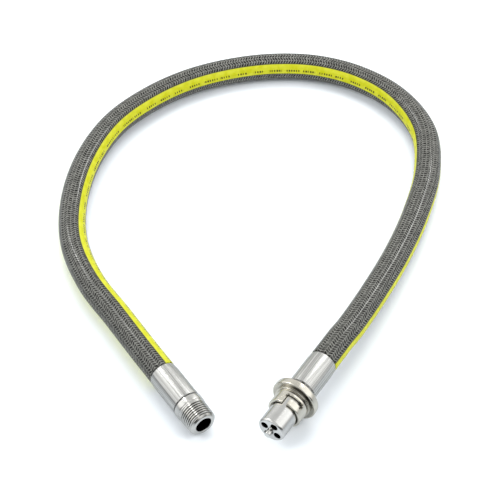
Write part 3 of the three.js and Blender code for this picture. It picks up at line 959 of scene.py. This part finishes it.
class GASHOSE_OT_nose(bpy.types.Operator):
    """Nose barrel with its valve pin and four gas ports"""

    bl_idname = "gashose.nose"
    bl_label = "Nose barrel"

    def execute(self, context):
        plug = context.scene.gas_plug
        journal, nose, chamber = plug.journal / 2, plug.nose_diameter / 2, plug.chamber / 2
        face, pin = plug.nose_face, plug.pin_diameter / 2
        chamfer_length, chamfer_depth = 0.0011, 0.0009
        outline = [
            (plug.barrel_back, chamber),
            (plug.barrel_back, journal),
            (plug.shoulder, journal),
            (plug.shoulder, nose),
            (face - chamfer_length, nose),
            (face, nose - chamfer_depth),
            (face, pin),
            (face + plug.pin_length, pin),
            (face + plug.pin_length, 0),
            (face - plug.nose_wall, 0),
            (face - plug.nose_wall, chamber),
        ]
        piece = turned("nose", rounded(outline, {4: 0.0004, 5: 0.0003, 6: 0.0003, 7: 0.0007}, 3))
        for index in range(PORT_COUNT):
            carve(piece, self.drill(plug, index))

        def darken(x, across, up, radius):
            """Shade in the ports and the chamber"""
            behind_face = 1 - x.step(face - 0.0016, face - 0.0006)
            within_wall = 1 - radius.step(0.0088, 0.009)
            return [behind_face * within_wall * 0.97]

        steel = turned_steel("nose_steel", PLUG_END, plug.nose_metal, darken)
        settle(piece, PLUG_END, steel, "hose_body", "nose_barrel")
        return {"FINISHED"}

    @staticmethod
    def drill(plug, index):
        """Cutter for one gas port"""
        turn = math.tau * index / PORT_COUNT + plug.port_turn
        proud = 0.001
        depth = plug.nose_wall + 0.0032
        centre = (
            plug.nose_face + proud - depth / 2,
            plug.port_circle / 2 * math.sin(turn),
            plug.port_circle / 2 * math.cos(turn),
        )
        deselect()
        bpy.ops.mesh.primitive_cylinder_add(
            vertices=40, radius=plug.port / 2, depth=depth, location=centre, rotation=(0, math.pi / 2, 0)
        )
        cutter = bpy.context.object
        bpy.ops.object.transform_apply(location=True, rotation=True, scale=True)
        return cutter


class GASHOSE_OT_sleeve(bpy.types.Operator):
    """Bayonet sleeve and flange with two J-shaped slots"""

    bl_idname = "gashose.sleeve"
    bl_label = "Bayonet sleeve"

    def execute(self, context):
        plug = context.scene.gas_plug
        flange, outer = plug.flange_diameter / 2, plug.sleeve_diameter / 2
        inner = outer - plug.sleeve_wall
        back, front, mouth = plug.flange_back, plug.flange_front, plug.sleeve_front
        lip, lip_back, lip_front = plug.journal / 2 + 0.0003, 0.0366, 0.039
        counterbore, rim, hollow_edge, step = 0.0117, 0.016, 0.0155, 0.0137
        floor, step_front = front - 0.0005, front + 0.0019
        outline = [
            (back, counterbore), (back, flange), (front, flange), (front, rim), (floor, hollow_edge),
            (floor, step), (step_front, step), (step_front, outer), (mouth, outer),
            (mouth, inner), (lip_front, inner), (lip_front, lip), (lip_back, lip), (lip_back, counterbore),
        ]
        rounds = {1: 0.0018, 2: 0.001, 3: 0.0002, 4: 0.0003, 6: 0.0005, 8: 0.0005, 9: 0.0002}
        piece = turned("sleeve", rounded(outline, rounds))
        for side in (0, math.pi):
            carve(piece, self.slot(plug, side))

        def darken(x, across, up, radius):
            """Shade in the hollow of the flange, on the step, in the root before it and on the rim"""
            upper_right = (across * 0.616 + up * 0.788).step(0.45, 0.85)
            hollow = radius.band(0.0136, 0.0138, 0.0149, 0.0155)
            hollow = hollow * x.band(front - 0.001, front - 0.0008, front, front + 0.0002)
            ring = x.band(front + 0.0002, front + 0.0006, front + 0.0018, front + 0.0021)
            root = x.band(front + 0.0021, front + 0.0024, front + 0.0028, front + 0.0036)
            edge = radius.band(0.0158, 0.0161, 0.0163, 0.0166) * x.step(front - 0.0008, front)
            return (hollow * (upper_right * 0.68 + 0.27), ring * (upper_right * 0.4 + 0.05),
                    root * (upper_right * 0.85 + 0.1), edge * upper_right * 0.5)

        nickel = turned_steel("sleeve_nickel", PLUG_END, plug.metal, darken)
        settle(piece, PLUG_END, nickel, "sleeve_body", "bayonet_sleeve")
        return {"FINISHED"}

    @staticmethod
    def slot(plug, side):
        """Cutter of one slot: a flat J made thick, cut into strips and bent round the sleeve"""
        radius = plug.sleeve_diameter / 2
        inside, outside = radius - 0.0035, radius + 0.002
        corner, strips = 0.0009, 24
        mouth, back = plug.sleeve_front + 0.003, plug.sleeve_front - plug.slot_depth
        front, seat = back + plug.slot_width, back + plug.slot_seat
        near, turn, far = (radius * a for a in (plug.slot_start, plug.slot_mouth, plug.slot_end))
        outline = [
            (mouth, near), (back, near), (back, far), (seat, far),
            (seat, far - plug.slot_width), (front, far - plug.slot_width), (front, turn), (mouth, turn),
        ]
        outline = rounded(outline, {1: corner, 2: corner, 3: corner, 4: corner, 5: 0.0004, 6: 0.0007})
        cutter = draw_outline("slot", outline)
        bpy.ops.mesh.edge_face_add()
        bpy.ops.mesh.extrude_region_move(TRANSFORM_OT_translate={"value": (0, outside - inside, 0)})
        for i in range(1, strips):
            bpy.ops.mesh.select_all(action="SELECT")
            cut = near + (far - near) * i / strips
            bpy.ops.mesh.bisect(plane_co=(0, 0, cut), plane_no=(0, 0, 1))
        bpy.ops.object.mode_set(mode="OBJECT")
        for vertex in cutter.data.vertices:
            x, y, z = vertex.co
            turned_by = z / radius + side
            vertex.co = (x, (inside + y) * math.sin(turned_by), (inside + y) * math.cos(turned_by))
        face_outwards(cutter)
        return cutter


class GASHOSE_OT_inside(bpy.types.Operator):
    """Finishes of the plug tail, seal ring and washer, which keep their CAD shape"""

    bl_idname = "gashose.inside"
    bl_label = "Inner pieces"

    def execute(self, context):
        finishes = {
            "plug_tail": plain_finish("tail_steel", (0.12, 0.12, 0.11), 0.4, 1.0),
            "barrel_seal_ring": plain_finish("seal_rubber", (0.03, 0.03, 0.03), 0.6),
            "swivel_washer": plain_finish("washer_plastic", (0.8, 0.79, 0.74), 0.45),
        }
        for name, material in finishes.items():
            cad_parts[name].data.materials[0] = material
        return {"FINISHED"}


class GASHOSE_PT_panel(bpy.types.Panel):
    """Lists the steps and the sizes"""

    bl_label = "Gas Hose"
    bl_idname = "GASHOSE_PT_panel"
    bl_space_type = "VIEW_3D"
    bl_region_type = "UI"
    bl_category = "Gas Hose"

    def draw(self, context):
        layout = self.layout
        for operator in OPERATORS:
            layout.operator(operator.bl_idname)
        for name, group in SETTINGS.items():
            box = layout.box()
            for key in group.__annotations__:
                box.prop(getattr(context.scene, name), key)


SETTINGS = {
    "gas_studio": StudioSettings,
    "gas_hose": HoseSettings,
    "gas_ferrule": FerruleSettings,
    "gas_nipple": NippleSettings,
    "gas_plug": PlugSettings,
}
OPERATORS = (
    GASHOSE_OT_studio,
    GASHOSE_OT_hose,
    GASHOSE_OT_ferrules,
    GASHOSE_OT_nipple,
    GASHOSE_OT_nose,
    GASHOSE_OT_sleeve,
    GASHOSE_OT_inside,
)


def register():
    for group in SETTINGS.values():
        bpy.utils.register_class(group)
    for operator in (*OPERATORS, GASHOSE_PT_panel):
        bpy.utils.register_class(operator)
    for name, group in SETTINGS.items():
        setattr(bpy.types.Scene, name, PointerProperty(type=group))


def unregister():
    for name in SETTINGS:
        delattr(bpy.types.Scene, name)
    for operator in (GASHOSE_PT_panel, *reversed(OPERATORS)):
        bpy.utils.unregister_class(operator)
    for group in SETTINGS.values():
        bpy.utils.unregister_class(group)


def main():
    """Makes every piece, in order"""
    register()
    bpy.ops.gashose.studio()
    bpy.ops.gashose.hose()
    bpy.ops.gashose.ferrules()
    bpy.ops.gashose.nipple()
    bpy.ops.gashose.nose()
    bpy.ops.gashose.sleeve()
    bpy.ops.gashose.inside()


if __name__ == "__main__":
    main()
